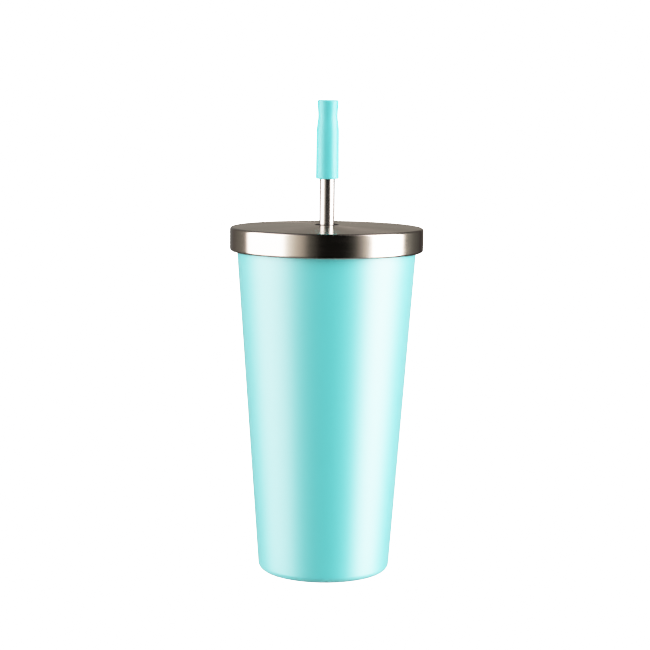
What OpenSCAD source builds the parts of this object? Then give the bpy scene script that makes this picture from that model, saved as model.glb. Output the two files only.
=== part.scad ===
// Double-walled vacuum tumbler with a screw-on steel lid and a steel drinking straw.
// Millimetres, +Z up, origin on the table at the centre of the foot.

/* [Cup] */
// Height of the coated wall, from the table to the lower edge of the closed lid
body_h = 168.5; // [150:0.5:190]
// Diameter of the foot, where the tapered wall would meet the table
foot_d = 68.6; // [64:0.2:74]
// Outside radius of the rounded edge at the foot
foot_edge_r = 4; // [3:0.5:5]
// Thickness of the steel sheet of both walls
sheet_t = 0.5; // [0.4:0.05:0.6]
// Width of the vacuum space between the walls
vacuum_gap = 2.7; // [2.4:0.1:3]

/* [Lid] */
// Outside diameter of the lid
lid_d = 100.5; // [96:0.5:104]
// Height of the lid's side, from its lower edge to the edge of its top
lid_h = 12.5; // [12.5:0.1:14]
// How far the middle of the lid's top stands above its edge
lid_crown = 1.2; // [0:0.1:1.5]
// Thickness of the lid's steel sheet
lid_sheet_t = 0.6; // [0.5:0.05:0.6]
// How far the lid's side stands out past the top of the cup's wall
lid_overhang = 3.75; // [3.75:0.05:4]
// Diameter of the straw hole in the steel lid
straw_hole_d = 12.4; // [12:0.1:13]

/* [Screw thread] */
// Rise of the lid in one full turn, shared by the starts
thread_lead = 9; // [8.4:0.1:9]
// How far each thread ridge stands out of its wall
thread_depth = 1.2; // [1:0.05:1.2]

/* [Straw] */
// Outside diameter of the steel straw
straw_d = 8; // [7.8:0.05:8]
// Wall of the steel straw
straw_wall = 0.4; // [0.3:0.05:0.5]
// Length of the steel straw
straw_l = 220; // [215:0.5:222]
// Length of the silicone mouthpiece
tip_l = 40.5; // [38:0.5:42]
// Diameter of the mouthpiece at its lower end
tip_d = 12; // [11.6:0.1:12.4]

/* [Hidden] */
$fn = 96;

MINT = [0.42, 0.80, 0.79];
STEEL = [0.74, 0.72, 0.69];
LINER_STEEL = [0.78, 0.78, 0.77];
COPPER = [0.80, 0.47, 0.32];
POLYPROPYLENE = [0.90, 0.91, 0.91];
CLEAR_SILICONE = [0.82, 0.84, 0.85];
DARK_SILICONE = [0.12, 0.12, 0.12];
SOLDER_GLASS = [0.25, 0.33, 0.35];
GETTER_METAL = [0.45, 0.46, 0.48];

// The tapered wall
body_top_r = lid_d / 2 - lid_overhang;
foot_r = foot_d / 2;
taper = atan((body_top_r - foot_r) / body_h);
// Radius at height z of the surface that lies inset t inside the outer face of the tapered wall
function wall_r(z, t) = foot_r + (body_top_r - foot_r) * z / body_h - t / cos(taper);

// Gap left between parts that are pressed or snapped together
fit_gap = 0.05;

// The foot: a flat ring, turned up inside to hold the base cover
foot_ring_w = 6.6;
foot_ring_in_r = foot_r - foot_ring_w;
foot_curl_r = 1;
foot_flange_h = 3;

// The neck: bare steel above the coated wall, hidden by the lid
lid_bottom = body_h;
lid_top = lid_bottom + lid_h;
shoulder_h = 1.2;
shoulder_w = 0.65;
neck_r = body_top_r - shoulder_w;
rim_drop = 3.5;
rim_z = lid_top - rim_drop;
rim_lip_r = 1.4;
liner_inset = sheet_t + vacuum_gap;

// The floor of the cup, and the two bottoms below it
floor_z = 10.2;
floor_edge_r = 6;
floor_pan_h = 8;
liner_weld_z = floor_z + floor_pan_h;
vacuum_bottom_z = 6;
vacuum_bottom_flange_h = 2;
vacuum_bottom_bend_r = 0.5;
dimple_r = 6;
dimple_ramp_w = 2;
dimple_depth = 1.3;
bleed_hole_r = 0.8;
glass_r = 2.4;
glass_t = 0.8;

// Plate that closes the foot, with a shallow ring pressed up near its edge
base_cover_z = 1;
base_cover_flange_h = 2.6;
base_cover_bend_r = 1;
base_ring_rise = 0.5;
base_ring_ramp_w = 2;
base_ring_w = 10;

// Getter, on the vacuum side of the bottom
getter_x = 17;
getter_r = 4;
getter_t = 1.5;
clip_w = 3;
clip_t = 0.3;
clip_foot_l = 2;
clip_play = 0.1;

// Radiation shield round the liner
foil_t = 0.05;
foil_gap = 0.15;
foil_weld_clear = 3;
foil_neck_clear = 6;
foil_bottom_z = liner_weld_z + foil_weld_clear;
foil_top_z = body_h - foil_neck_clear;
foil_disc_r = 26;

// Screw thread, two starts. The lid's ridges bear up against the cup's ridges from below.
starts = 2;
step_angle = 7.5;
ridge_root_half = 1;
ridge_crest_half = 0.4;
ridge_sink = 0.25;
ridge_ramp_steps = 2;
cup_ridge_sweep = 180;
cup_ridge_rise = 2.9;
cup_ridge_z = lid_bottom + cup_ridge_rise;
lid_ridge_sweep = 135;
lid_ridge_start = 42;
lid_ridge_drop = 1.5;
thread_play = 0.3;
insert_root_r = neck_r + thread_depth + thread_play;

// Steel cap of the lid. Its top is crowned: crown(r) is its rise over the top's edge at radius r.
cover_edge_r = 1.4;
cover_hem_w = 1.7;
cover_flat_r = lid_d / 2 - cover_edge_r;
function crown(r) = lid_crown * (1 - pow(r / cover_flat_r, 2));
hole_r = straw_hole_d / 2;
hole_edge = 0.1;
hole_top = lid_top + crown(hole_r + hole_edge);
hole_flange_h = 2.4;

// Moulded core of the lid
cover_gap = 0.1;
insert_r = lid_d / 2 - lid_sheet_t - cover_gap;
insert_top = lid_top - lid_sheet_t;
insert_bottom = lid_bottom + lid_sheet_t + fit_gap;
chamfer = 0.4;
web_corner = 0.8;
web_t = 2.2;
web_z = insert_top - web_t;
well_r = hole_r + lid_sheet_t + fit_gap;
well_mouth = 1;
well_wall = 1.5;
well_rise = 3;
well_z = lid_bottom + well_rise;
well_ledge = 1;
well_ledge_w = 1.5;
// Where the crown's outline turns, on the cap and on the core below it
crown_turns = 5;
crown_first_r = well_r + well_mouth;
crown_turn_rs = [for (k = [0:crown_turns]) mix(crown_first_r, cover_flat_r, k / (crown_turns + 1))];

// Gasket, and the plug inside it
gasket_t = 1.4;
gasket_w = 4.4;
gasket_edge = 0.3;
gasket_rib_h = 0.35;
gasket_rib_root_half = 0.8;
gasket_rib_tip_half = 0.4;
gasket_side_play = 0.1;
gasket_r = insert_root_r - gasket_side_play;
gasket_seat_z = rim_z + gasket_t + 2 * fit_gap;
plug_play = 0.15;
plug_r = gasket_r - gasket_w - plug_play;
plug_w = 1.4;
plug_reach = 3;
plug_z = rim_z - plug_reach;

// Straw, and the bush that it slides in
straw_r = straw_d / 2;
straw_bore_r = straw_r - straw_wall;
straw_foot_gap = 0.7;
straw_bottom = floor_z + sheet_t + straw_foot_gap;
straw_top = straw_bottom + straw_l;
slide_play = 0.06;
bush_lip_t = 1;
bush_edge = 0.3;
bush_relief = 0.6;
bush_ramp = 0.5;
bush_end_play = 0.1;
collar_t = 0.5;
collar_rise = 0.25;

// Mouthpiece
tip_on_straw = 25.5;
tip_bottom = straw_top - tip_on_straw;
tip_top = tip_bottom + tip_l;
tip_r = tip_d / 2;
tip_sleeve_taper = 0.15;
tip_waist_depth = 0.9;
tip_mouth_inset = 0.5;
tip_sleeve_r = tip_r - tip_sleeve_taper;
tip_waist_r = tip_r - tip_waist_depth;
tip_mouth_r = tip_r - tip_mouth_inset;
tip_bore_r = 3.5;
tip_edge_r = 0.6;
tip_lip_r = 0.9;
tip_lip_inner = 0.8;
tip_lead_in = 0.4;
tip_stop_gap = 0.2;
tip_neck_drop = 1;

// ---- 2D helpers: every outline is [radius, height] ----

// Points on an arc about c, from angle a0 to angle a1
function arc(c, r, a0, a1, n = 8) =
    [for (i = [0:n]) let (a = a0 + (a1 - a0) * i / n) [c[0] + r * cos(a), c[1] + r * sin(a)]];
function reversed(path) = [for (i = [len(path) - 1:-1:0]) path[i]];
function mix(a, b, u) = a + (b - a) * u;
function ease(u) = (1 - cos(180 * u)) / 2;

// A ring of sheet metal between two outlines
module turned(face, back) {
    rotate_extrude()
        polygon(concat(face, reversed(back)));
}

module disc(r, z, t) {
    translate([0, 0, z])
        cylinder(r = r, h = t);
}

// ---- screw thread ----

// One ridge: a trapezoid swept up a right-hand helix, fading in and out at its ends.
// It starts at height z and angle a. Its root is sunk a little into the wall, so that the two join.
module thread_ridge(root_r, crest_r, z, a, sweep) {
    side = sign(crest_r - root_r);
    n = round(sweep / step_angle);
    root = root_r - side * ridge_sink;
    // Chords of a ridge inside a bore dip below its corners, so its corners lie further out
    chord = side < 0 ? cos(step_angle / 2) : 1;
    function fade(i) = min(1, i / ridge_ramp_steps, (n - i) / ridge_ramp_steps);
    function section(i) = let (crest = mix(mix(root_r, root, 0.5), crest_r / chord, fade(i)))
        [[root, -ridge_root_half], [crest, -ridge_crest_half],
         [crest, ridge_crest_half], [root, ridge_root_half]];
    points = [for (i = [0:n]) let (t = a + i * step_angle, rise = thread_lead * i * step_angle / 360)
        for (p = section(i)) [p[0] * cos(t), p[0] * sin(t), z + rise + p[1]]];
    sides = [for (i = [0:n - 1]) for (k = [0:3])
        let (p = 4 * i + k, q = 4 * i + (k + 1) % 4) each [[p, p + 4, q], [q, p + 4, q + 4]]];
    ends = [[0, 1, 2], [0, 2, 3], [4 * n, 4 * n + 2, 4 * n + 1], [4 * n, 4 * n + 3, 4 * n + 2]];
    faces = concat(sides, ends);
    polyhedron(points = points, faces = side < 0 ? faces : [for (f = faces) reversed(f)]);
}

module thread(root_r, crest_r, z, first_angle, sweep) {
    for (k = [0:starts - 1])
        thread_ridge(root_r, crest_r, z, first_angle + k * 360 / starts, sweep);
}

// ---- cup ----

function shell_outline(t) = concat(
    [[foot_ring_in_r + t, foot_flange_h]],
    arc([foot_ring_in_r + foot_curl_r, foot_curl_r], foot_curl_r - t, 180, 270, 4),
    arc([wall_r(foot_edge_r, foot_edge_r), foot_edge_r], foot_edge_r - t, 270, 360 - taper),
    [[wall_r(body_h, t), body_h], [neck_r - t, body_h + shoulder_h], [neck_r - t, rim_z - sheet_t]]);

// Outer wall: coated up to the lid, then a bare neck with the screw thread
module outer_shell() {
    color(MINT) {
        turned(shell_outline(0), shell_outline(sheet_t));
        thread(neck_r, neck_r + thread_depth, cup_ridge_z, 0, cup_ridge_sweep);
    }
}

// Pressed plate that closes the foot from below
module base_cover() {
    r = foot_ring_in_r - fit_gap;
    ring_z = base_cover_z + base_ring_rise;
    ring_in_r = r - base_ring_w;
    function outline(t) = concat(
        [[0, base_cover_z + t], [ring_in_r - base_ring_ramp_w, base_cover_z + t], [ring_in_r, ring_z + t]],
        arc([r - base_cover_bend_r, ring_z + base_cover_bend_r], base_cover_bend_r - t, 270, 360, 4),
        [[r - t, base_cover_z + base_cover_flange_h]]);
    color(STEEL)
        turned(outline(0), outline(sheet_t));
}

// Welded dish that closes the vacuum space, with the dimple it was pumped out through
module vacuum_bottom() {
    z = vacuum_bottom_z;
    r = wall_r(z - vacuum_bottom_flange_h, sheet_t) - fit_gap;
    bend = vacuum_bottom_bend_r;
    function outline(t) = concat(
        [[bleed_hole_r, z + dimple_depth + t], [dimple_r - dimple_ramp_w, z + dimple_depth + t]],
        [[dimple_r, z + t]],
        arc([r - sheet_t - bend, z - bend], bend + t, 90, 0, 4),
        [[r - sheet_t + t, z - vacuum_bottom_flange_h]]);
    color(STEEL)
        turned(outline(0), outline(sheet_t));
}

// Bead of solder glass that seals the hole in the dimple
module sealing_glass() {
    color(SOLDER_GLASS)
        disc(glass_r, vacuum_bottom_z + dimple_depth - glass_t, glass_t);
}

// Pressed pill that keeps the vacuum clean
module getter_pill() {
    color(GETTER_METAL)
        translate([getter_x, 0, 0])
            disc(getter_r, vacuum_bottom_z + sheet_t, getter_t);
}

// Spot-welded strap that holds the pill down
module getter_clip() {
    z = vacuum_bottom_z + sheet_t;
    reach = getter_r + clip_play;
    color(LINER_STEEL)
        translate([getter_x, 0, z])
            for (side = [0, 180])
                rotate(side) {
                    translate([-clip_w / 2, 0, getter_t])
                        cube([clip_w, reach + clip_t, clip_t]);
                    translate([-clip_w / 2, reach, 0])
                        cube([clip_w, clip_t, getter_t + clip_t]);
                    translate([-clip_w / 2, reach, 0])
                        cube([clip_w, clip_foot_l, clip_t]);
                }
}

// Inner wall: a tapered tube whose mouth is rolled out over the top of the outer wall
function liner_outline(t) = let (r = wall_r(rim_z - rim_lip_r, liner_inset + sheet_t)) concat(
    [[wall_r(liner_weld_z, liner_inset + sheet_t - t), liner_weld_z]],
    arc([r + rim_lip_r, rim_z - rim_lip_r], rim_lip_r - t, 180, 90, 6),
    [[neck_r, rim_z - t]]);

module inner_liner() {
    color(LINER_STEEL)
        turned(liner_outline(0), liner_outline(sheet_t));
}

// Floor pan, butt-welded to the lower edge of the inner wall
module inner_bottom() {
    centre = [wall_r(floor_z + floor_edge_r, liner_inset + floor_edge_r), floor_z + floor_edge_r];
    function outline(t) = concat(
        [[0, floor_z + t]],
        arc(centre, floor_edge_r - t, 270, 360 - taper),
        [[wall_r(liner_weld_z, liner_inset + t), liner_weld_z]]);
    color(LINER_STEEL)
        turned(outline(0), outline(sheet_t));
}

// Copper foil that reflects heat, wrapped round the inner wall
module foil_wrap() {
    function outline(t) = [for (z = [foil_bottom_z, foil_top_z]) [wall_r(z, liner_inset - foil_gap - t), z]];
    color(COPPER)
        turned(outline(0), outline(foil_t));
}

// The same foil under the floor
module foil_disc() {
    color(COPPER)
        disc(foil_disc_r, floor_z - foil_gap - foil_t, foil_t);
}

// ---- lid ----

// Flat silicone ring between the rim and the lid, with a soft rib that meets the rim
module lid_gasket() {
    rib_z = rim_z + fit_gap;
    low = rib_z + gasket_rib_h;
    top = rib_z + gasket_t;
    inner = gasket_r - gasket_w;
    mid = gasket_r - gasket_w / 2;
    edge = gasket_edge;
    color(CLEAR_SILICONE)
        rotate_extrude()
            polygon([[inner, low + edge], [inner + edge, low], [mid - gasket_rib_root_half, low],
                     [mid - gasket_rib_tip_half, rib_z], [mid + gasket_rib_tip_half, rib_z],
                     [mid + gasket_rib_root_half, low], [gasket_r - edge, low], [gasket_r, low + edge],
                     [gasket_r, top - edge], [gasket_r - edge, top],
                     [inner + edge, top], [inner, top - edge]]);
}

// Brushed steel cap, hemmed in under the core and flanged down round the straw hole
module lid_cover() {
    r = lid_d / 2;
    function outline(t) = concat(
        [[hole_r + t, hole_top - hole_flange_h], [hole_r + t, hole_top - t - hole_edge]],
        [[hole_r + t + hole_edge, hole_top - t]],
        [for (turn_r = crown_turn_rs) [turn_r, lid_top + crown(turn_r) - t]],
        arc([cover_flat_r, lid_top - cover_edge_r], cover_edge_r - t, 90, 0, 6),
        arc([cover_flat_r, lid_bottom + cover_edge_r], cover_edge_r - t, 0, -90, 6),
        [[r - lid_sheet_t - cover_hem_w, lid_bottom + t]]);
    color(STEEL)
        turned(outline(0), outline(lid_sheet_t));
}

// Moulded core of the lid: screw ring, web, plug that centres it in the mouth, and the straw's well
module lid_insert() {
    edge = cover_edge_r;
    plug_in_r = plug_r - plug_w;
    well_out_r = well_r + well_wall;
    color(POLYPROPYLENE) {
        rotate_extrude()
            polygon(concat(
                [[well_r, insert_top + crown(crown_first_r) - well_mouth]],
                [for (turn_r = crown_turn_rs) [turn_r, insert_top + crown(turn_r)]],
                [[insert_r - edge, insert_top], [insert_r, insert_top - edge],
                 [insert_r, insert_bottom + edge], [insert_r - edge, insert_bottom],
                 [insert_root_r + chamfer, insert_bottom], [insert_root_r, insert_bottom + chamfer],
                 [insert_root_r, gasket_seat_z], [plug_r, gasket_seat_z],
                 [plug_r, plug_z + chamfer], [plug_r - chamfer, plug_z],
                 [plug_in_r + chamfer, plug_z], [plug_in_r, plug_z + chamfer],
                 [plug_in_r, web_z - web_corner], [plug_in_r - web_corner, web_z],
                 [well_out_r + web_corner, web_z], [well_out_r, web_z - web_corner],
                 [well_out_r, well_z + chamfer], [well_out_r - chamfer, well_z],
                 [well_r - well_ledge_w, well_z], [well_r - well_ledge_w, well_z + well_ledge],
                 [well_r, well_z + well_ledge]]));
        thread(insert_root_r, insert_root_r - thread_depth,
               cup_ridge_z - lid_ridge_drop + thread_lead * lid_ridge_start / 360,
               lid_ridge_start, lid_ridge_sweep);
    }
}

// Soft bush in the well. A lip at each end steadies the straw, and a collar lines the hole in the steel
// and stands just proud of it.
module straw_grommet() {
    bottom = well_z + well_ledge + fit_gap;
    top = hole_top - hole_flange_h - bush_end_play;
    outer = well_r - fit_gap;
    collar_r = hole_r - fit_gap;
    collar_top = hole_top + collar_rise;
    lip_r = straw_r + slide_play;
    bore_r = straw_r + bush_relief;
    color(DARK_SILICONE)
        rotate_extrude()
            polygon([[lip_r, bottom + bush_edge], [lip_r + bush_edge, bottom], [outer, bottom], [outer, top],
                     [collar_r, top], [collar_r, collar_top], [collar_r - collar_t, collar_top],
                     [collar_r - collar_t, top], [lip_r + bush_edge, top], [lip_r, top - bush_edge],
                     [lip_r, top - bush_lip_t], [bore_r, top - bush_lip_t - bush_ramp],
                     [bore_r, bottom + bush_lip_t + bush_ramp], [lip_r, bottom + bush_lip_t]]);
}

// ---- straw ----

module straw_tube() {
    color(STEEL)
        difference() {
            disc(straw_r, straw_bottom, straw_l);
            disc(straw_bore_r, straw_bottom - 1, straw_l + 2);
        }
}

// Silicone mouthpiece: a sleeve over the straw, then a waist and a flared lip
function tip_side() = let (
    sleeve_top = straw_top - tip_neck_drop, waist_z = mix(sleeve_top, tip_top, 0.5), n = 6)
    concat(
        [[tip_sleeve_r, sleeve_top]],
        [for (i = [1:n]) [mix(tip_sleeve_r, tip_waist_r, ease(i / n)), mix(sleeve_top, waist_z, i / n)]],
        [for (i = [1:n]) let (u = i / n)
            [mix(tip_waist_r, tip_mouth_r, ease(u)), mix(waist_z, tip_top - tip_lip_r, u)]]);

module straw_tip() {
    bore = straw_r + slide_play;
    stop = straw_top + tip_stop_gap;
    color(MINT)
        rotate_extrude()
            polygon(concat(
                [[bore, stop], [bore, tip_bottom + tip_lead_in], [bore + tip_lead_in, tip_bottom]],
                arc([tip_r - tip_edge_r, tip_bottom + tip_edge_r], tip_edge_r, -90, 0, 4),
                tip_side(),
                arc([tip_mouth_r - tip_lip_r, tip_top - tip_lip_r], tip_lip_r, 0, 90, 4),
                [[tip_bore_r + tip_lip_inner, tip_top], [tip_bore_r, tip_top - tip_lip_inner],
                 [tip_bore_r, stop]]));
}

outer_shell();
base_cover();
vacuum_bottom();
sealing_glass();
getter_pill();
getter_clip();
inner_liner();
inner_bottom();
foil_wrap();
foil_disc();
lid_gasket();
lid_cover();
lid_insert();
straw_grommet();
straw_tube();
straw_tip();
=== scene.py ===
"""Looks of a double-walled steel tumbler with a screw lid and a straw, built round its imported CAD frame.

Outlines are (radius, height) in millimetres, and become round meshes in metres about the Z axis.
Sizes that the frame's boxes give are read from them. The others have the CAD's values, except for edges
that the CAD leaves sharp.
"""
import math

import bmesh
import bpy
from mathutils import Matrix, Vector


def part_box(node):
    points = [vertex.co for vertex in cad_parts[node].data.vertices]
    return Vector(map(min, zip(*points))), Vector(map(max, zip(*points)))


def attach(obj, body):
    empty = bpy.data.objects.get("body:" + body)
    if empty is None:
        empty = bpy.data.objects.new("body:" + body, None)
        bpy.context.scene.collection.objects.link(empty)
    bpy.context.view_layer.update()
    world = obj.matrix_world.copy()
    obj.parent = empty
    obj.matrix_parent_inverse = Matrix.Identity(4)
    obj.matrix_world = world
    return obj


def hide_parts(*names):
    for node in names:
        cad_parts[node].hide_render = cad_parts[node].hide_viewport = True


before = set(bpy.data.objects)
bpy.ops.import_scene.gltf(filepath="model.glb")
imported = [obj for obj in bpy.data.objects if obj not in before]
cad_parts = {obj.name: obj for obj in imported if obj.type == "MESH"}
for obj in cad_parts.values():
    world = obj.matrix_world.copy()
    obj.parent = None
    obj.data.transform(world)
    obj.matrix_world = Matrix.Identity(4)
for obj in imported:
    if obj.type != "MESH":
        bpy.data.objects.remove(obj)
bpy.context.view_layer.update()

MM = 0.001

# Stretches of a round mesh on the way round, by how wide the piece is.
SEGMENTS = 256
FOIL_SEGMENTS = 192
SLIM_SEGMENTS = 128
SMALL_SEGMENTS = 96
BEAD_SEGMENTS = 64

# Longest stretch of an outline, in millimetres: on a plain wall, on a thread and on crumpled foil.
WALL_STEP = 12
THREAD_STEP = 0.2
WRAP_STEP = 2.5
DISC_STEP = 1.5


def extent(node):
    """Outside radius, lowest height and highest height of a round CAD node, in millimetres."""
    low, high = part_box(node)
    return high.x / MM, low.z / MM, high.z / MM


# ---- sizes from the frame ----
LID_R, LID_LOW, HOLE_TOP = extent("lid_cover")
INSERT_R, INSERT_LOW, INSERT_TOP = extent("lid_insert")
GASKET_R, GASKET_LOW, GASKET_TOP = extent("lid_gasket")
BUSH_R, BUSH_LOW, BUSH_TOP = extent("straw_grommet")
TUBE_R, TUBE_LOW, TUBE_TOP = extent("straw_tube")
TIP_R, TIP_LOW, TIP_TOP = extent("straw_tip")
NECK_R, WELD_Z, RIM_Z = extent("inner_liner")
_, FLOOR_LOW, _ = extent("inner_bottom")
PLATE_R, PLATE_LOW, PLATE_TOP = extent("base_cover")
DISH_R, DISH_LOW, DISH_TOP = extent("vacuum_bottom")
GLASS_R, GLASS_LOW, GLASS_TOP = extent("sealing_glass")
DISC_R, DISC_LOW, _ = extent("foil_disc")
_, WRAP_LOW, WRAP_TOP = extent("foil_wrap")

# ---- sizes that a box can't give, with the CAD's values ----
SHEET = 0.5
LID_SHEET = 0.6
FIT = 0.05
OVERHANG = 3.75
BODY_TOP_R = LID_R - OVERHANG
FOOT_R = 34.3
FOOT_EDGE = 4.0
FOOT_RING_W = 6.6
FOOT_RING_IN = FOOT_R - FOOT_RING_W
FOOT_FLANGE = 3.0
PRESS_EDGE = 1.0
TAPER = math.atan((BODY_TOP_R - FOOT_R) / LID_LOW)
SHOULDER = 1.2
LINER_INSET = 3.2
RIM_LIP = 1.4
FLOOR_EDGE = 6.0
HOLE_R = 6.2
HOLE_EDGE = 0.1
HOLE_FLANGE = 2.4
HEM = 1.7
LID_EDGE = 1.4
LID_FLAT_R = LID_R - LID_EDGE
LID_CROWN = 1.2
GASKET_W = 4.4
GASKET_RIB = 0.35
GASKET_SEAT = GASKET_TOP + FIT
PLUG_PLAY = 0.15
PLUG_R = GASKET_R - GASKET_W - PLUG_PLAY
PLUG_WALL = 1.4
PLUG_REACH = 3.0
PLUG_LOW = RIM_Z - PLUG_REACH
WEB_T = 2.2
WEB_FILLET = 0.8
WELL_R = HOLE_R + LID_SHEET + FIT
WELL_WALL = 1.5
WELL_MOUTH = 1.0
WELL_LEDGE = 1.0
WELL_LEDGE_W = 1.5
WELL_LOW = BUSH_LOW - WELL_LEDGE - FIT
BUSH_PLAY = 0.1
BUSH_SHOULDER = HOLE_TOP - HOLE_FLANGE - BUSH_PLAY
BUSH_RELIEF = 0.6
BUSH_LIP = 1.0
BUSH_RAMP = 0.5
COLLAR = 0.5
TUBE_WALL = 0.4
SLIDE_PLAY = 0.06
TIP_EDGE = 0.6
TIP_TAPER = 0.15
TIP_WAIST = 0.9
TIP_MOUTH = 0.5
TIP_BORE_R = 3.5
TIP_STOP = 0.2
TIP_NECK_DROP = 1
TIP_LIP = 0.9
THREAD_LEAD = 9.0
THREAD_DEPTH = 1.2
THREAD_STARTS = 2
THREAD_CLEAR = 0.3
RIDGE_ROOT_HALF = 1.0
RIDGE_CREST_HALF = 0.4
RIDGE_RAMP = math.radians(15)
CUP_RIDGE_RISE = 2.9
CUP_RIDGE = {"z": LID_LOW + CUP_RIDGE_RISE, "angle": 0.0, "sweep": math.radians(180)}
LID_RIDGE_DROP = 1.5
LID_RIDGE_START = math.radians(42)
LID_RIDGE = {"z": CUP_RIDGE["z"] - LID_RIDGE_DROP + THREAD_LEAD * LID_RIDGE_START / math.tau,
             "angle": LID_RIDGE_START, "sweep": math.radians(135)}
INSERT_ROOT_R = NECK_R + THREAD_DEPTH + THREAD_CLEAR

# ---- sizes of the looks alone ----
COAT = 0.05
BODY_EDGE = 0.6
BODY_LIP = 0.3
BODY_LIP_H = 0.55
NECK_EDGE = 0.5
CORE_EDGE = 1.5
TUBE_EDGE = 0.15


def crown(r):
    """Rise of the lid's top at radius r over the edge of its top."""
    return LID_CROWN * (1 - (r / LID_FLAT_R) ** 2)


LID_TOP = HOLE_TOP - crown(HOLE_R + HOLE_EDGE)
CORE_TOP = LID_TOP - LID_SHEET


def wall_r(z, inset=0.0):
    """Radius at height z of the surface that lies inset inside the outer face of the tapered wall."""
    return FOOT_R + (BODY_TOP_R - FOOT_R) * z / LID_LOW - inset / math.cos(TAPER)


# ---- outlines ----

def rounded(corners, closed=True, step=10):
    """The outline with each corner (r, z, radius) turned into an arc, with a point every step degrees."""
    points = []
    for i, corner in enumerate(corners):
        here = Vector(corner[:2])
        radius = corner[2] if len(corner) > 2 else 0
        if not radius or (not closed and i in (0, len(corners) - 1)):
            points.append(here)
            continue
        back = (Vector(corners[i - 1][:2]) - here).normalized()
        ahead = (Vector(corners[(i + 1) % len(corners)][:2]) - here).normalized()
        half = back.angle(ahead) / 2
        centre = here + (back + ahead).normalized() * radius / math.sin(half)
        start = here + back * radius / math.tan(half) - centre
        end = here + ahead * radius / math.tan(half) - centre
        sweep = math.atan2(start.x * end.y - start.y * end.x, start.dot(end))
        count = max(2, math.ceil(abs(math.degrees(sweep)) / step))
        points += [centre + Matrix.Rotation(sweep * k / count, 2) @ start for k in range(count + 1)]
    return points


def crowned(start_r, end_r, edge_z, steps=16):
    """Points from one radius to another on a surface that rises like the lid's top from edge_z."""
    radii = [start_r + (end_r - start_r) * k / steps for k in range(steps + 1)]
    return [Vector((r, edge_z + crown(r))) for r in radii]


def divided(points, longest):
    """The path with points added, so that no stretch is longer than longest."""
    path = [points[0]]
    for a, b in zip(points, points[1:]):
        count = max(1, math.ceil((b - a).length / longest))
        path += [a.lerp(b, k / count) for k in range(1, count + 1)]
    return path


def half_circle(a, b, steps=4):
    """Points between a and b on the half circle that lies to the right of the way from a to b."""
    middle = (a + b) / 2
    return [middle + Matrix.Rotation(math.pi * k / steps, 2) @ (a - middle) for k in range(1, steps)]


def directions(path):
    """The way of each stretch of the path."""
    return [(b - a).normalized() for a, b in zip(path, path[1:])]


def beside(path, distance):
    """The path moved sideways by distance, to the left of its way, with its corners kept."""
    ways = directions(path)
    moved = []
    for i, here in enumerate(path):
        before, after = ways[max(i - 1, 0)], ways[min(i, len(ways) - 1)]
        along = (before + after).normalized()
        moved.append(here + Vector((-along.y, along.x)) * distance / along.dot(after))
    return moved


def sheet(path, thickness):
    """Closed outline of sheet metal: the path is its right-hand face, and its cut edges are dressed round."""
    ways = directions(path)
    face, behind = list(path), beside(path, thickness)
    head, tail = [], []
    if path[0].x > 0:
        face[0], behind[0] = (p + ways[0] * thickness / 2 for p in (face[0], behind[0]))
        head = half_circle(behind[0], face[0])
    if path[-1].x > 0:
        face[-1], behind[-1] = (p - ways[-1] * thickness / 2 for p in (face[-1], behind[-1]))
        tail = half_circle(face[-1], behind[-1])
    return face + tail + behind[::-1] + head


# ---- meshes ----

def solid(name, verts, faces, sharp=40):
    """A mesh object with outward faces, smooth except at edges over sharp degrees."""
    mesh = bpy.data.meshes.new(name)
    mesh.from_pydata(verts, [], faces)
    work = bmesh.new()
    work.from_mesh(mesh)
    bmesh.ops.recalc_face_normals(work, faces=work.faces)
    work.to_mesh(mesh)
    work.free()
    mesh.shade_smooth()
    mesh.set_sharp_from_angle(angle=math.radians(sharp))
    piece = bpy.data.objects.new(name, mesh)
    bpy.context.scene.collection.objects.link(piece)
    return piece


def lathe(name, outline, bend=None, segments=SEGMENTS):
    """A closed outline turned about Z. bend(angle, r, z), if given, moves each point to a new (r, z)."""
    verts, rings = [], []
    for r, z in outline:
        count = segments if r > 1e-6 else 1
        rings.append([len(verts) + s % count for s in range(segments)])
        for s in range(count):
            angle = math.tau * s / segments
            out, up = bend(angle, r, z) if bend else (r, z)
            verts.append((out * math.cos(angle) * MM, out * math.sin(angle) * MM, up * MM))
    faces = []
    for below, above in zip(rings, rings[1:] + rings[:1]):
        for s in range(segments):
            t = (s + 1) % segments
            loop = [below[s], below[t], above[t], above[s]]
            loop = [v for k, v in enumerate(loop) if v != loop[k - 1]]
            if len(loop) > 2:
                faces.append(loop)
    return solid(name, verts, faces)


def drawn_out(name, outline, low, high):
    """A closed (y, z) outline drawn out along X from low to high."""
    n = len(outline)
    verts = [(x * MM, y * MM, z * MM) for x in (low, high) for y, z in outline]
    faces = [[i, (i + 1) % n, n + (i + 1) % n, n + i] for i in range(n)]
    return solid(name, verts, faces + [list(range(n)), list(range(n, 2 * n))])


def ease(x):
    """0 up to x = 0 and 1 from x = 1 on, with a smooth rise between them."""
    x = min(1.0, max(0.0, x))
    return x * x * (3 - 2 * x)


def ridge(angle, z, thread):
    """Share of the thread's full depth, 0 to 1, that stands out of the wall at this angle and height."""
    height = 0.0
    for start in range(THREAD_STARTS):
        along = (angle - thread["angle"] - start * math.tau / THREAD_STARTS) % math.tau
        if along < thread["sweep"]:
            off = abs(z - thread["z"] - THREAD_LEAD * along / math.tau)
            flank = ease((RIDGE_ROOT_HALF - off) / (RIDGE_ROOT_HALF - RIDGE_CREST_HALF))
            fade = ease(min(along, thread["sweep"] - along) / RIDGE_RAMP)
            height = max(height, flank * fade)
    return height


# ---- materials ----

# Numbers of the Mix node's sockets for two colours and for the colour that comes out.
MIX_A, MIX_B, MIX_OUT = 6, 7, 2


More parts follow.
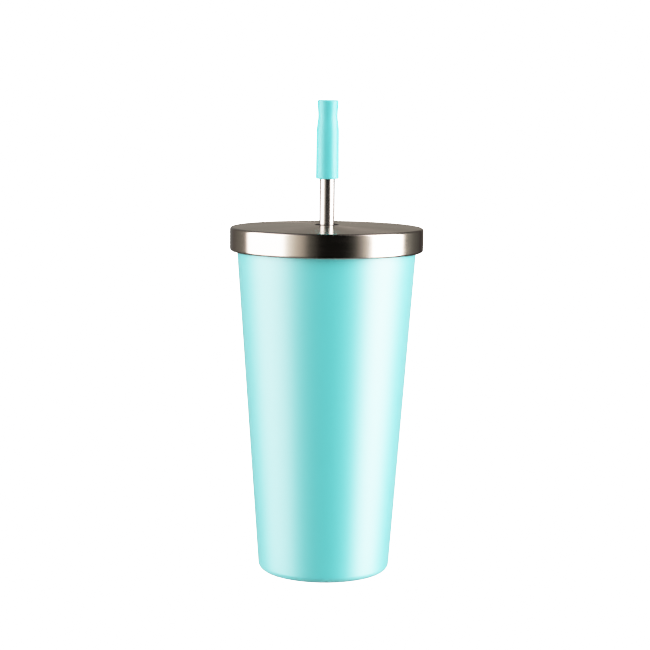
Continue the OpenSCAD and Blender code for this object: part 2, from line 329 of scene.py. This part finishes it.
def node(tree, kind, inputs=None, **settings):
    """A shader node with its settings, and inputs as {socket name or number: value or a socket to link}."""
    made = tree.nodes.new("ShaderNode" + kind)
    for name, value in settings.items():
        setattr(made, name, value)
    for key, value in (inputs or {}).items():
        if isinstance(value, bpy.types.NodeSocket):
            tree.links.new(value, made.inputs[key])
        else:
            made.inputs[key].default_value = value
    return made


def finish_of(name, colour, **sockets):
    """A Principled material with the sockets' constants set: the material, its tree and its shader."""
    made = bpy.data.materials.new(name)
    made.use_nodes = True
    tree = made.node_tree
    shader = next(n for n in tree.nodes if n.type == "BSDF_PRINCIPLED")
    shader.inputs["Base Color"].default_value = (*colour, 1)
    for socket, value in sockets.items():
        shader.inputs[socket.replace("_", " ")].default_value = value
    return made, tree, shader


def noise(tree, vector, scale, detail=3.0, roughness=0.5):
    """Noise value of about 0.3 to 0.7, with scale lumps to the metre."""
    settings = {"Vector": vector, "Scale": scale, "Detail": detail, "Roughness": roughness}
    return node(tree, "TexNoise", settings).outputs["Fac"]


def spread(tree, value, low, high):
    """A noise value laid out from low to high."""
    limits = {"From Min": 0.3, "From Max": 0.7, "To Min": low, "To Max": high}
    return node(tree, "MapRange", {"Value": value, **limits}).outputs[0]


def roughened(tree, shader, value, low, high):
    """Roughness that drifts with a noise value, from low to high."""
    tree.links.new(spread(tree, value, low, high), shader.inputs["Roughness"])


def drifting(tree, value, colour, change):
    """Colour that drifts with value, by change either way."""
    darker, lighter = ([c * (1 + s * change) for c in colour] + [1] for s in (-1, 1))
    made = node(tree, "Mix", {"Factor": value, MIX_A: darker, MIX_B: lighter}, data_type="RGBA")
    return made.outputs[MIX_OUT]


def tinted(tree, shader, value, colour, change):
    """Base colour that drifts with value, by change either way."""
    tree.links.new(drifting(tree, value, colour, change), shader.inputs["Base Color"])


def bumped(tree, shader, value, depth, strength=1.0):
    """Relief from value, depth in millimetres."""
    bump = node(tree, "Bump", {"Height": value, "Distance": depth * MM, "Strength": strength})
    tree.links.new(bump.outputs["Normal"], shader.inputs["Normal"])


def object_coords(tree):
    """Place on the piece, in metres in the object's frame."""
    return node(tree, "TexCoord").outputs["Object"]


def ring_noise(tree, pitch, around=3.0, detail=2.0):
    """Noise that runs in rings about Z, pitch millimetres wide, and changes slowly on the way round."""
    coords = object_coords(tree)
    per_metre = 1 / (pitch * MM)
    flat = node(tree, "VectorMath", {0: coords, 1: (1, 1, 0)}, operation="MULTIPLY")
    radius = node(tree, "VectorMath", {0: flat.outputs[0]}, operation="LENGTH")
    heading = node(tree, "VectorMath", {0: flat.outputs[0]}, operation="NORMALIZE")
    height = node(tree, "VectorMath", {0: coords, 1: (0, 0, per_metre)}, operation="MULTIPLY")
    place = node(tree, "VectorMath", {0: heading.outputs[0], 1: (around,) * 3, 2: height.outputs[0]},
                 operation="MULTIPLY_ADD")
    out = node(tree, "Math", {0: radius.outputs["Value"], 1: per_metre}, operation="MULTIPLY")
    settings = {"Vector": place.outputs[0], "W": out.outputs[0], "Scale": 1.0, "Detail": detail}
    return node(tree, "TexNoise", settings, noise_dimensions="4D").outputs["Fac"]


def turned_steel(name, colour, roughness, pull, depth, pitch=0.3, change=0.05):
    """Steel brushed in rings about Z. Its reflections are drawn out across the rings, as far as pull says."""
    made, tree, shader = finish_of(name, colour, Metallic=1.0, Roughness=roughness, Anisotropic=pull,
                                   Anisotropic_Rotation=0.25)
    tangent = node(tree, "Tangent", direction_type="RADIAL", axis="Z")
    tree.links.new(tangent.outputs[0], shader.inputs["Tangent"])
    streaks = ring_noise(tree, pitch * 7)
    roughened(tree, shader, streaks, roughness * 0.88, roughness * 1.12)
    tinted(tree, shader, streaks, colour, change)
    bumped(tree, shader, ring_noise(tree, pitch), depth)
    return made


def drawn_steel(name, colour, roughness):
    """Polished tube, with faint lines along it from drawing."""
    made, tree, shader = finish_of(name, colour, Metallic=1.0, Roughness=roughness)
    stretched = node(tree, "VectorMath", {0: object_coords(tree), 1: (3000, 3000, 25)}, operation="MULTIPLY")
    lines = noise(tree, stretched.outputs[0], 1.0)
    roughened(tree, shader, lines, roughness * 0.7, roughness * 1.4)
    tinted(tree, shader, lines, colour, 0.03)
    bumped(tree, shader, lines, 0.002)
    return made


def powder_coat(name, colour, roughness):
    """Satin coating: fine orange peel, a finer tooth, and scuffs where the foot meets the table."""
    made, tree, shader = finish_of(name, colour, Roughness=roughness, IOR=1.6, Specular_IOR_Level=1.0,
                                   Coat_Weight=1.0, Coat_IOR=1.8, Coat_Roughness=0.5, Sheen_Weight=0.5,
                                   Sheen_Roughness=0.62)
    coords = object_coords(tree)
    peel = noise(tree, coords, 650, 2.0)
    tooth = noise(tree, coords, 4200, 2.0)
    relief = node(tree, "Math", {0: tooth, 1: 0.25, 2: peel}, operation="MULTIPLY_ADD")
    bumped(tree, shader, relief.outputs[0], 0.012)
    roughened(tree, shader, tooth, roughness * 0.93, roughness * 1.07)
    base = drifting(tree, noise(tree, coords, 35), colour, 0.015)
    height = node(tree, "SeparateXYZ", {0: coords})
    low = node(tree, "MapRange", {"Value": height.outputs["Z"], "From Min": 0.6 * MM, "From Max": 0.1 * MM})
    patches = node(tree, "MapRange", {"Value": noise(tree, coords, 900, 5.0, 0.7), "From Min": 0.52,
                                      "From Max": 0.64})
    rubbed = node(tree, "Math", {0: low.outputs[0], 1: patches.outputs[0]}, operation="MULTIPLY")
    scuff = node(tree, "Mix", {"Factor": rubbed.outputs[0], MIX_A: base, MIX_B: (0.35, 0.38, 0.37, 1)},
                 data_type="RGBA")
    tree.links.new(scuff.outputs[MIX_OUT], shader.inputs["Base Color"])
    return made


def silicone(name, colour, roughness, through, depth=0.006, clear=0.0, gloss=0.5):
    """Moulded silicone: light passes some way in, and the surface has a fine matt grain."""
    made, tree, shader = finish_of(name, colour, Roughness=roughness, Subsurface_Weight=through,
                                   Subsurface_Scale=1.5 * MM, Transmission_Weight=clear, IOR=1.41,
                                   Specular_IOR_Level=gloss)
    shader.inputs["Subsurface Radius"].default_value = (0.8, 1.0, 1.0)
    coords = object_coords(tree)
    grain = noise(tree, coords, 2600, 2.0)
    bumped(tree, shader, grain, depth)
    roughened(tree, shader, grain, roughness * 0.92, roughness * 1.08)
    tinted(tree, shader, noise(tree, coords, 60), colour, 0.02)
    return made


def moulded_plastic(name, colour):
    """Satin plastic, with a fine grain and faint flow marks."""
    made, tree, shader = finish_of(name, colour, Roughness=0.42, Subsurface_Weight=0.15,
                                   Subsurface_Scale=2 * MM)
    coords = object_coords(tree)
    bumped(tree, shader, noise(tree, coords, 1500), 0.01)
    flow = noise(tree, coords, 45)
    roughened(tree, shader, flow, 0.36, 0.5)
    tinted(tree, shader, flow, colour, 0.015)
    return made


def foil(name, colour):
    """Thin copper with a soft crumple."""
    made, tree, shader = finish_of(name, colour, Metallic=1.0, Roughness=0.28)
    coords = object_coords(tree)
    crumple = node(tree, "TexVoronoi", {"Vector": coords, "Scale": 160}, feature="SMOOTH_F1")
    bumped(tree, shader, crumple.outputs["Distance"], 0.25, 0.6)
    roughened(tree, shader, noise(tree, coords, 300), 0.2, 0.38)
    tinted(tree, shader, noise(tree, coords, 90), colour, 0.08)
    return made


def pressed_powder(name, colour):
    """Metal powder pressed into a pill, with its grit showing."""
    made, tree, shader = finish_of(name, colour, Metallic=0.6, Roughness=0.75)
    grit = noise(tree, object_coords(tree), 5000)
    bumped(tree, shader, grit, 0.06)
    tinted(tree, shader, grit, colour, 0.25)
    return made


def fused_glass(name, colour):
    """Cloudy dark glass with a melted surface."""
    made, tree, shader = finish_of(name, colour, Roughness=0.12, Transmission_Weight=0.5, IOR=1.6)
    coords = object_coords(tree)
    tinted(tree, shader, noise(tree, coords, 1800), colour, 0.2)
    bumped(tree, shader, noise(tree, coords, 900), 0.04)
    return made


MINT = powder_coat("mint_powder_coat", (0.045, 0.75, 0.77), 0.45)
LID_STEEL = turned_steel("turned_lid_steel", (0.60, 0.56, 0.51), 0.22, 0.8, 0.004)
LINER_STEEL = turned_steel("satin_liner_steel", (0.66, 0.65, 0.64), 0.30, 0.5, 0.004, pitch=0.5)
BASE_STEEL = turned_steel("spun_base_steel", (0.60, 0.59, 0.58), 0.34, 0.5, 0.006, pitch=0.4, change=0.08)
STRAW_STEEL = drawn_steel("polished_straw_steel", (0.50, 0.48, 0.45), 0.22)
MINT_SILICONE = silicone("mint_silicone", (0.12, 0.70, 0.725), 0.45, 0.12, gloss=1.0)
CLEAR_SILICONE = silicone("clear_silicone", (0.72, 0.75, 0.76), 0.4, 0.5, clear=0.3)
# Painted shade: the straw bush is a real part, but its near-black colour stands in for the shade in the gap
# round the straw.
SHADE_DARK_SILICONE = silicone("dark_silicone", (0.012, 0.012, 0.012), 0.6, 0.0, gloss=0.3)
WHITE_PLASTIC = moulded_plastic("white_polypropylene", (0.80, 0.81, 0.80))
COPPER_FOIL = foil("copper_foil", (0.78, 0.36, 0.22))
GETTER = pressed_powder("getter_powder", (0.20, 0.20, 0.22))
SOLDER_GLASS = fused_glass("solder_glass", (0.06, 0.09, 0.10))


def dress(piece, body, slot, finish, *nodes):
    """The piece rides on a body, has a finish, and stands for CAD nodes."""
    piece.data.materials.append(finish)
    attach(piece, body)
    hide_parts(*nodes)
    return piece


# ---- cup ----

def coated_wall():
    """The tapered outer wall: flange inside the foot ring, rounded foot, and the coat's end at the neck."""
    path = rounded([(FOOT_RING_IN, FOOT_FLANGE), (FOOT_RING_IN, 0, PRESS_EDGE), (FOOT_R, 0, FOOT_EDGE),
                    (BODY_TOP_R, LID_LOW, BODY_EDGE), (BODY_TOP_R - BODY_LIP, LID_LOW + BODY_LIP_H)],
                   closed=False, step=5)
    wall = lathe("coated_wall", sheet(divided(path, WALL_STEP), SHEET))
    dress(wall, "cup", "mint_coat", MINT, "outer_shell")


def steel_neck():
    """Bare neck, rolled with the screw thread on both faces. Its foot is hidden inside the coated wall.

    Its last stretch keeps one shape up to the cut edge, so that the edge stays even.
    """
    tuck, last = 3, 0.4
    hidden_z, last_z = LID_LOW - tuck, RIM_Z - SHEET - last
    path = rounded([(wall_r(hidden_z, COAT), hidden_z), (BODY_TOP_R - COAT, LID_LOW, NECK_EDGE),
                    (NECK_R, LID_LOW + SHOULDER, NECK_EDGE), (NECK_R, RIM_Z - SHEET)], closed=False)

    def rolled(angle, r, z):
        return r + THREAD_DEPTH * ridge(angle, min(z, last_z), CUP_RIDGE), z

    outline = sheet(divided(path, THREAD_STEP), SHEET - 2 * COAT)
    dress(lathe("steel_neck", outline, rolled), "cup", "inner_steel", LINER_STEEL, "outer_shell")


def liner():
    """Inner wall, with the drinking rim rolled out over the neck."""
    path = rounded([(NECK_R, RIM_Z), (wall_r(RIM_Z, LINER_INSET + SHEET), RIM_Z, RIM_LIP),
                    (wall_r(WELD_Z, LINER_INSET + SHEET), WELD_Z)], closed=False, step=5)
    wall = lathe("liner", sheet(divided(path, WALL_STEP), SHEET))
    dress(wall, "cup", "inner_steel", LINER_STEEL, "inner_liner")


def floor_pan():
    """Floor of the cup, turned up to the weld with the liner."""
    top = FLOOR_LOW + SHEET
    corner = (wall_r(top, LINER_INSET + SHEET), top, FLOOR_EDGE - SHEET)
    path = rounded([(wall_r(WELD_Z, LINER_INSET + SHEET), WELD_Z), corner, (0, top)], closed=False, step=5)
    dress(lathe("floor_pan", sheet(path, SHEET)), "cup", "inner_steel", LINER_STEEL, "inner_bottom")


def base_plate():
    """Pressed plate in the foot, with a shallow raised ring."""
    ring_w, step_w, rise = 10, 2, 0.5
    step_r = PLATE_R - (ring_w + step_w)
    path = rounded([(0, PLATE_LOW), (step_r, PLATE_LOW, step_w), (step_r + step_w, PLATE_LOW + rise, step_w),
                    (PLATE_R, PLATE_LOW + rise, PRESS_EDGE), (PLATE_R, PLATE_TOP)], closed=False)
    dress(lathe("base_plate", sheet(path, SHEET)), "cup", "base_steel", BASE_STEEL, "base_cover")


def vacuum_dish():
    """Welded dish with the pump-out dimple."""
    hole_r, dimple_in, dimple_out, dimple_h, bend, edge = 0.8, 4, 6, 1.3, 0.8, 0.5
    z, skirt_r = DISH_TOP - SHEET, DISH_R - SHEET
    low = z - dimple_h
    path = rounded([(hole_r, z), (dimple_in, z, bend), (dimple_out, low, bend), (skirt_r, low, edge),
                    (skirt_r, DISH_LOW)], closed=False)
    dress(lathe("vacuum_dish", sheet(path, SHEET)), "cup", "base_steel", BASE_STEEL, "vacuum_bottom")


def glass_bead():
    """Domed bead that seals the hole in the dimple."""
    flat_share, dome_edge, band, edge = 0.55, 1, 0.15, 0.1
    outline = rounded([(0, GLASS_LOW), (GLASS_R * flat_share, GLASS_LOW, dome_edge),
                       (GLASS_R, GLASS_TOP - band, edge), (GLASS_R, GLASS_TOP), (0, GLASS_TOP)])
    bead = lathe("glass_bead", outline, segments=BEAD_SEGMENTS)
    dress(bead, "cup", "solder_glass", SOLDER_GLASS, "sealing_glass")


def getter():
    """Pressed pill with a bevelled rim, under a bent strap with spread feet."""
    low_edge, top_edge, play, bend = 0.15, 0.35, 0.1, 0.1
    low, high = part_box("getter_pill")
    x, r = (low.x + high.x) / 2 / MM, (high.x - low.x) / 2 / MM
    bottom, top = low.z / MM, high.z / MM
    profile = rounded([(0, bottom), (r, bottom, low_edge), (r, top, top_edge), (0, top)])
    pill = lathe("getter_pill_pressed", profile, segments=SMALL_SEGMENTS)
    pill.data.transform(Matrix.Translation((x * MM, 0, 0)))
    dress(pill, "cup", "getter_metal", GETTER, "getter_pill")
    low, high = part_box("getter_clip")
    foot_y, leg_y, thick = high.y / MM, r + play, high.z / MM - top
    half = [(foot_y, bottom), (leg_y, bottom, bend), (leg_y, top, bend)]
    path = rounded([*half, *[(-c[0], *c[1:]) for c in half[::-1]]], closed=False)
    clip = drawn_out("getter_strap", path + beside(path, -thick)[::-1], low.x / MM, high.x / MM)
    dress(clip, "cup", "base_steel", BASE_STEEL, "getter_clip")


def foils():
    """Copper foil round the liner, with a lapped seam, and its disc under the floor."""
    gap, thick, crease, seam_sweep = 0.15, 0.05, 0.02, 0.09

    def lapped(angle, r, z):
        seam = ease(1 - abs(math.remainder(angle, math.tau)) / seam_sweep)
        wave = crease * math.sin(9 * angle + z / 7) * math.sin(z / 11 + 5 * angle)
        return r + thick * seam + wave, z

    path = [Vector((wall_r(z, LINER_INSET - gap - thick), z)) for z in (WRAP_LOW, WRAP_TOP)]
    outline = sheet(divided(path, WRAP_STEP), thick)
    wrap = lathe("foil_wrap_lapped", outline, lapped, segments=FOIL_SEGMENTS)
    dress(wrap, "cup", "copper_foil", COPPER_FOIL, "foil_wrap")

    def ruffled(angle, r, z):
        return r, z + crease * math.sin(7 * angle + r / 2) * math.sin(r / 3)

    path = [Vector((r, DISC_LOW)) for r in (0, DISC_R)]
    outline = sheet(divided(path, DISC_STEP), thick)
    disc = lathe("foil_disc_ruffled", outline, ruffled, segments=SMALL_SEGMENTS)
    dress(disc, "cup", "copper_foil", COPPER_FOIL, "foil_disc")


# ---- lid ----

def gasket():
    """Flat ring with a soft rib that meets the rim, and rounded edges."""
    inner, mid, low = GASKET_R - GASKET_W, GASKET_R - GASKET_W / 2, GASKET_LOW + GASKET_RIB
    edge, bend, crest, root = 0.3, 0.25, 0.4, 0.8
    outline = rounded([(inner, low, edge), (mid - root, low, bend), (mid - crest, GASKET_LOW, bend),
                       (mid + crest, GASKET_LOW, bend), (mid + root, low, bend), (GASKET_R, low, edge),
                       (GASKET_R, GASKET_TOP, edge), (inner, GASKET_TOP, edge)], step=20)
    dress(lathe("gasket_ring", outline), "seal", "clear_silicone", CLEAR_SILICONE, "lid_gasket")


def lid_cap():
    """Steel cap: rolled-in hem, upright side, crowned top, and the straw hole's flange."""
    side = rounded([(LID_R - LID_SHEET - HEM, LID_LOW), (LID_R, LID_LOW, LID_EDGE),
                    (LID_R, LID_TOP, LID_EDGE), (0, LID_TOP)], closed=False, step=6)[:-1]
    top = crowned(LID_FLAT_R, HOLE_R + HOLE_EDGE, LID_TOP)[1:-1]
    hole = rounded([(LID_R, HOLE_TOP), (HOLE_R, HOLE_TOP, HOLE_EDGE), (HOLE_R, HOLE_TOP - HOLE_FLANGE)],
                   closed=False, step=15)[1:]
    dress(lathe("lid_cap", sheet(side + top + hole, LID_SHEET)), "lid", "lid_steel", LID_STEEL, "lid_cover")


def lid_core():
    """Moulded core: screw ring with ridges in its bore, plug, web and the straw's well."""
    root, well, web_z = INSERT_ROOT_R, WELL_R, CORE_TOP - WEB_T
    mouth, ledge = well - WELL_LEDGE_W, WELL_LOW + WELL_LEDGE
    plug_in, well_out = PLUG_R - PLUG_WALL, well + WELL_WALL
    seat_edge, mouth_edge, entry_edge, edge, plug_edge = 0.15, 0.3, 0.35, 0.4, 0.5
    # The bore and the crown stop just short of the rounded corners.
    bore_low, bore_top, crown_end = INSERT_LOW + 0.4, GASKET_SEAT - 0.2, INSERT_R - CORE_EDGE - 0.1
    bore = divided([Vector((root, bore_low)), Vector((root, bore_top))], THREAD_STEP)[1:-1]
    top = crowned(well + WELL_MOUTH, crown_end, CORE_TOP - FIT)
    before = rounded([(well, CORE_TOP), (INSERT_R, CORE_TOP, CORE_EDGE), (INSERT_R, INSERT_LOW, CORE_EDGE),
                      (root, INSERT_LOW, entry_edge), (root, GASKET_SEAT)], closed=False)[1:-1]
    after = rounded([(root, INSERT_LOW), (root, GASKET_SEAT, seat_edge),
                     (PLUG_R, GASKET_SEAT, seat_edge), (PLUG_R, PLUG_LOW, plug_edge),
                     (plug_in, PLUG_LOW, edge), (plug_in, web_z, WEB_FILLET), (well_out, web_z, WEB_FILLET),
                     (well_out, WELL_LOW, edge), (mouth, WELL_LOW, mouth_edge), (mouth, ledge),
                     (well, ledge), (well, INSERT_TOP - WELL_MOUTH)], closed=False)[1:]

    def ridged(angle, r, z):
        on_bore = abs(r - root) < 0.01
        return r - (THREAD_DEPTH * ridge(angle, z, LID_RIDGE) if on_bore else 0), z

    core = lathe("lid_core", top + before + bore + after, ridged)
    dress(core, "lid", "white_plastic", WHITE_PLASTIC, "lid_insert")


def straw_bush():
    """Soft bush with a lip at each end that meets the straw, and a collar round the hole in the cap.

    The collar lines the hole and stands just proud of it.
    """
    lip, bore, top = TUBE_R + SLIDE_PLAY, TUBE_R + BUSH_RELIEF, BUSH_SHOULDER
    collar, collar_in = HOLE_R - FIT, HOLE_R - FIT - COLLAR
    lead, bend, edge = 0.3, 0.2, 0.1
    waist_top, waist_low = top - BUSH_LIP, BUSH_LOW + BUSH_LIP
    outline = rounded([(lip, BUSH_LOW, lead), (BUSH_R, BUSH_LOW, bend), (BUSH_R, top, edge), (collar, top),
                       (collar, BUSH_TOP, bend), (collar_in, BUSH_TOP, bend), (collar_in, top, bend),
                       (lip, top, lead), (lip, waist_top, bend), (bore, waist_top - BUSH_RAMP, bend),
                       (bore, waist_low + BUSH_RAMP, bend), (lip, waist_low, bend)], step=15)
    bush = lathe("straw_bush", outline, segments=SLIM_SEGMENTS)
    # The bush and its proud collar take the near-black silicone, which paints the shade of the gap round the
    # straw.
    dress(bush, "lid", "dark_silicone", SHADE_DARK_SILICONE, "straw_grommet")


# ---- straw ----

def straw():
    """Polished tube with rounded ends."""
    bore = TUBE_R - TUBE_WALL
    ends = [(bore, TUBE_LOW), (TUBE_R, TUBE_LOW), (TUBE_R, TUBE_TOP), (bore, TUBE_TOP)]
    outline = rounded([(r, z, TUBE_EDGE) for r, z in ends], step=15)
    tube = lathe("straw_polished", outline, segments=SLIM_SEGMENTS)
    dress(tube, "straw", "straw_steel", STRAW_STEEL, "straw_tube")


def mouthpiece():
    """Soft sleeve over the straw, necked in at the straw's end, with a flared and rounded mouth."""
    sleeve_top = TUBE_TOP - TIP_NECK_DROP
    waist_z = (sleeve_top + TIP_TOP) / 2
    sleeve, waist = (TIP_R - TIP_TAPER, sleeve_top), (TIP_R - TIP_WAIST, waist_z)
    throat = (TIP_R - TIP_MOUTH, TIP_TOP - TIP_LIP)
    corner = [(TIP_R, TIP_TOP), (TIP_R, TIP_LOW, TIP_EDGE), (TUBE_R, TIP_LOW)]
    side = rounded(corner, closed=False, step=12)[1:-1][::-1] + [Vector(sleeve)]
    steps = 16
    for (start_r, start_z), (end_r, end_z) in ((sleeve, waist), (waist, throat)):
        for k in range(1, steps + 1):
            u = k / steps
            side.append(Vector((start_r + (end_r - start_r) * ease(u), start_z + (end_z - start_z) * u)))
    lip_foot = TIP_TOP - 2
    mouth = rounded([(throat[0], lip_foot), (throat[0], TIP_TOP, TIP_LIP), (TIP_BORE_R, TIP_TOP, TIP_LIP),
                     (TIP_BORE_R, lip_foot)], closed=False, step=10)[1:-1]
    bore, stop, lead = TUBE_R + SLIDE_PLAY, TUBE_TOP + TIP_STOP, 0.4
    inside = [Vector((TIP_BORE_R, stop)), Vector((bore, stop)), Vector((bore, TIP_LOW + lead)),
              Vector((bore + lead, TIP_LOW))]
    outline = side + mouth[1:] + inside
    piece = lathe("mouthpiece", outline, segments=SLIM_SEGMENTS)
    dress(piece, "tip", "mint_silicone", MINT_SILICONE, "straw_tip")


# ---- studio ----

# Brightness shown as full white, and where and how softly highlights start to roll off to it.
FULL_WHITE = 6.0
SHOULDER_START = 0.42
SHOULDER_SCALE = 0.62

# The light round the object by heading, in degrees from the camera's side, positive to its right:
# two tall soft boxes, a dark gap in front, and a dim room behind.
LEFT_BOX = (6.5, 5.8, 5.8)
RIGHT_BOX = (11.0, 9.8, 9.8)
RIGHT_BOX_INNER = (17.3, 15.4, 15.4)
HEADINGS = [
    (-180, (0.32, 0.29, 0.25)), (-165, (0.22, 0.22, 0.21)), (-145, (0.12, 0.10, 0.09)),
    (-124, (0.22, 0.20, 0.17)), (-113, (0.32, 0.28, 0.24)), (-109, (0.55, 0.5, 0.45)),
    (-103, LEFT_BOX), (-55, LEFT_BOX), (-49, (2.0, 1.9, 1.75)),
    (-43, (1.3, 1.2, 1.1)), (-35, (0.85, 0.76, 0.67)), (-28, (0.6, 0.53, 0.45)),
    (-21, (0.14, 0.13, 0.11)), (-8, (0.006, 0.006, 0.005)), (24, (0.006, 0.006, 0.005)),
    (32, (0.05, 0.05, 0.04)), (36, (0.16, 0.14, 0.12)), (40, (0.38, 0.34, 0.3)),
    (45, (0.68, 0.62, 0.56)), (50, (1.05, 0.97, 0.9)), (55, (1.9, 1.8, 1.7)),
    (62, RIGHT_BOX_INNER), (96, RIGHT_BOX), (103, (0.75, 0.72, 0.64)),
    (108, (0.4, 0.38, 0.33)), (125, (0.16, 0.15, 0.13)), (150, (0.04, 0.03, 0.03)),
    (180, (0.32, 0.29, 0.25)),
]
# Its share of full strength by height, in degrees over the horizon.
RISES = [(-90, 0.03), (-50, 0.05), (-26, 0.35), (-12, 1.0), (26, 1.0), (48, 0.2), (60, 0.05), (90, 0.02)]


def camera():
    """A long lens from a little above the lid, which looks slightly down and leans a little."""
    lens = bpy.data.cameras.new("camera")
    lens.sensor_width = 36.0
    lens.lens = 99.9
    lens.clip_end = 20
    eye = bpy.data.objects.new("camera", lens)
    place, pitch, lean = (-0.0004, -0.934, 0.2484), math.radians(7.24), math.radians(0.6)
    forward = Vector((0, math.cos(pitch), -math.sin(pitch)))
    turn = forward.to_track_quat("-Z", "Y").to_matrix() @ Matrix.Rotation(lean, 3, "Z")
    eye.matrix_world = Matrix.Translation(place) @ turn.to_4x4()
    bpy.context.scene.collection.objects.link(eye)
    bpy.context.scene.camera = eye


def floor():
    """Pale floor, lit from behind like a light table, so that it shows white and takes no shadow.

    It is clear from below, so that the foot can be looked at.
    """
    mesh = bpy.data.meshes.new("floor")
    size, z = 3.0, -0.02 * MM
    around = [(-size, -size, z), (size, -size, z), (size, size, z), (-size, size, z)]
    mesh.from_pydata(around, [], [(0, 1, 2, 3)])
    plane = bpy.data.objects.new("floor", mesh)
    bpy.context.scene.collection.objects.link(plane)
    made, tree, shader = finish_of("pale_floor", (0.8, 0.8, 0.8), Roughness=0.9,
                                   Emission_Strength=FULL_WHITE)
    shader.inputs["Emission Color"].default_value = (1, 1, 1, 1)
    below = node(tree, "NewGeometry").outputs["Backfacing"]
    clear = node(tree, "BsdfTransparent").outputs[0]
    one_way = node(tree, "MixShader", {0: below, 1: shader.outputs[0], 2: clear})
    output = next(n for n in tree.nodes if n.type == "OUTPUT_MATERIAL")
    tree.links.new(one_way.outputs[0], output.inputs["Surface"])
    mesh.materials.append(made)
    plane.visible_glossy = False
    plane.visible_diffuse = False


def tone():
    """Mid tones stay true, and highlights roll off to white as they do on film."""
    view = bpy.context.scene.view_settings
    view.view_transform = "Standard"
    view.use_curve_mapping = True
    mapping = view.curve_mapping
    mapping.white_level = (FULL_WHITE,) * 3
    *_, combined = mapping.curves
    steps = 40
    for k in range(1, steps):
        light = FULL_WHITE * (k / steps) ** 2
        over = max(0.0, light - SHOULDER_START)
        shown = min(light, SHOULDER_START) + (1 - SHOULDER_START) * (1 - math.exp(-over / SHOULDER_SCALE))
        combined.points.new(light / FULL_WHITE, shown)
    mapping.update()


def ramp(tree, value, low, high, stops):
    """Colour that changes with value, through stops of (value, colour) between low and high."""
    turn = node(tree, "MapRange", {"Value": value, "From Min": low, "From Max": high})
    made = node(tree, "ValToRGB", {0: turn.outputs[0]})
    elements = made.color_ramp.elements
    for k, (place, colour) in enumerate(stops):
        share = (place - low) / (high - low)
        element = elements[k] if k < 2 else elements.new(share)
        element.position = share
        element.color = (*colour, 1)
    return made.outputs[0]


def studio():
    """World light that depends on heading and height. The camera itself sees plain white."""
    world = bpy.data.worlds.new("studio")
    bpy.context.scene.world = world
    world.use_nodes = True
    tree = world.node_tree
    tree.nodes.clear()
    way = node(tree, "SeparateXYZ", {0: node(tree, "TexCoord").outputs["Generated"]})
    back = node(tree, "Math", {0: way.outputs["Y"], 1: -1.0}, operation="MULTIPLY")
    heading = node(tree, "Math", {0: way.outputs["X"], 1: back.outputs[0]}, operation="ARCTAN2")
    rise = node(tree, "Math", {0: way.outputs["Z"]}, operation="ARCSINE")
    full = max(RIGHT_BOX_INNER)
    round_about = ramp(tree, heading.outputs[0], -math.pi, math.pi,
                       [(math.radians(turn), [c / full for c in colour]) for turn, colour in HEADINGS])
    up_down = ramp(tree, rise.outputs[0], -math.pi / 2, math.pi / 2,
                   [(math.radians(height), (share,) * 3) for height, share in RISES])
    strength = node(tree, "Math", {0: up_down, 1: full}, operation="MULTIPLY")
    light = node(tree, "Background", {"Color": round_about, "Strength": strength.outputs[0]})
    seen = node(tree, "Background", {"Color": (1, 1, 1, 1), "Strength": FULL_WHITE})
    pick = node(tree, "MixShader", {0: node(tree, "LightPath").outputs["Is Camera Ray"], 1: light.outputs[0],
                                    2: seen.outputs[0]})
    node(tree, "OutputWorld", {0: pick.outputs[0]})


STAGE = (camera, floor, studio, tone)
CUP = (coated_wall, steel_neck, liner, floor_pan, base_plate, vacuum_dish, glass_bead, getter, foils)
LID = (gasket, lid_cap, lid_core, straw_bush)
STRAW = (straw, mouthpiece)
for build in STAGE + CUP + LID + STRAW:
    build()


def corners(box):
    """A box as plain lists of numbers."""
    return [[round(v, 6) for v in corner] for corner in box]
